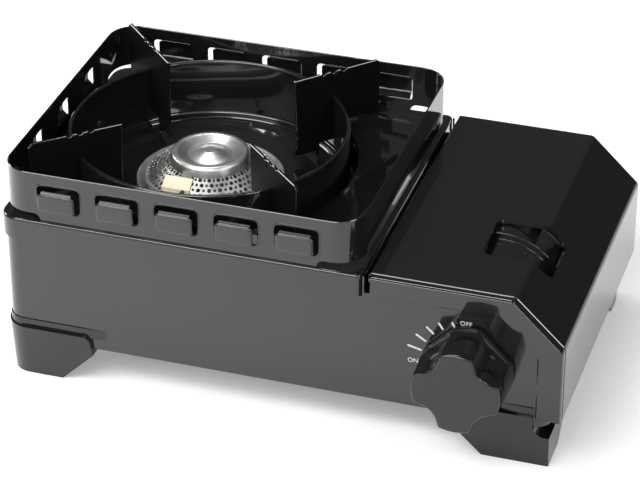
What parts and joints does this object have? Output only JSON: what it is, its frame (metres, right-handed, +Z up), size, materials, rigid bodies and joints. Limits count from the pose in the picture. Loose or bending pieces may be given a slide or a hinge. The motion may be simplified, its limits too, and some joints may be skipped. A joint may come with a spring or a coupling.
{
  "type": "butane cassette stove",
  "caption": "Portable table stove: ring burner in a sunk tray with louvred windshield and finned trivet, knob with igniter, can bay under a hinged cover.",
  "frame": {"origin": "middle of the box over the whole stove, on the counter under the feet", "axes": "+X to the right seen from the knob's side, +Y from the knob to the back, +Z up"},
  "size_m": [0.2872, 0.1932, 0.122],
  "materials": {
    "enamel": "gloss black enamel on pressed steel",
    "foot_plastic": "moulded black, gloss",
    "knob_plastic": "moulded black, gloss",
    "stainless": "stamped stainless",
    "cap_steel": "polished stainless",
    "zinc_steel": "zinc plated sheet",
    "cast_alloy": "die-cast, matte",
    "brass": "turned",
    "ceramic": "cream steatite",
    "wire": "silicone insulation",
    "seal": "nitrile rubber",
    "magnet": "ferrite",
    "piezo_plastic": "moulded",
    "plunger_plastic": "moulded",
    "heat_alloy": "rolled sheet"
  },
  "bodies": {
    "body": {"case_shell": "enamel", "base_plate": "enamel", "tray": "enamel", "windshield": "enamel", "windshield_rivets": "zinc_steel", "burner_bowl": "cast_alloy", "flame_ring": "stainless", "burner_cap": "cap_steel", "burner_collar": "stainless", "mixing_tube": "zinc_steel", "gas_nozzle": "brass", "electrode_block": "ceramic", "electrode_rod": "stainless", "electrode_bracket": "zinc_steel", "igniter_wire": "wire", "piezo_body": "piezo_plastic", "regulator_body": "cast_alloy", "diaphragm_cover": "zinc_steel", "inlet_socket": "brass", "inlet_seal": "seal", "magnet_housing": "enamel", "magnets": "magnet", "divider": "zinc_steel", "can_cradle": "zinc_steel", "heat_panel": "heat_alloy", "hinge_brackets": "zinc_steel", "hinge_pins": "zinc_steel", "lid_catch": "zinc_steel", "foot_front_left": "foot_plastic", "foot_front_right": "foot_plastic", "foot_back_left": "foot_plastic", "foot_back_right": "foot_plastic", "foot_screws": "zinc_steel", "tray_screws": "zinc_steel", "regulator_screws": "zinc_steel"},
    "trivet": {"trivet_ring": "enamel", "fin_front_left": "enamel", "fin_front_right": "enamel", "fin_back_left": "enamel", "fin_back_right": "enamel"},
    "cover": {"can_cover": "enamel"},
    "knob": {"knob": "knob_plastic", "valve_spindle": "brass"},
    "plunger": {"igniter_plunger": "plunger_plastic"}
  },
  "joints": [
    {"name": "cover_hinge", "type": "hinge", "parent": "body", "child": "cover", "pos_m": [0.052, 0, 0.0865], "axis": [0, -1, 0], "range_deg": [0, 95]},
    {"name": "knob_turn", "type": "hinge", "parent": "body", "child": "knob", "pos_m": [0.0976, -0.0701, 0.0498], "axis": [0, -1, 0], "range_deg": [0, 95]},
    {"name": "plunger_slide", "type": "slide", "parent": "body", "child": "plunger", "axis": [-1, 0, 0], "range_m": [0, 0.0035]},
    {"name": "trivet_lift", "type": "slide", "parent": "body", "child": "trivet", "axis": [0, 0, 1], "range_m": [0, 0.06]}
  ],
  "couplings": [
    {"joint": "plunger_slide", "follows": "knob_turn", "m_per_rad": 0.0021109}
  ]
}
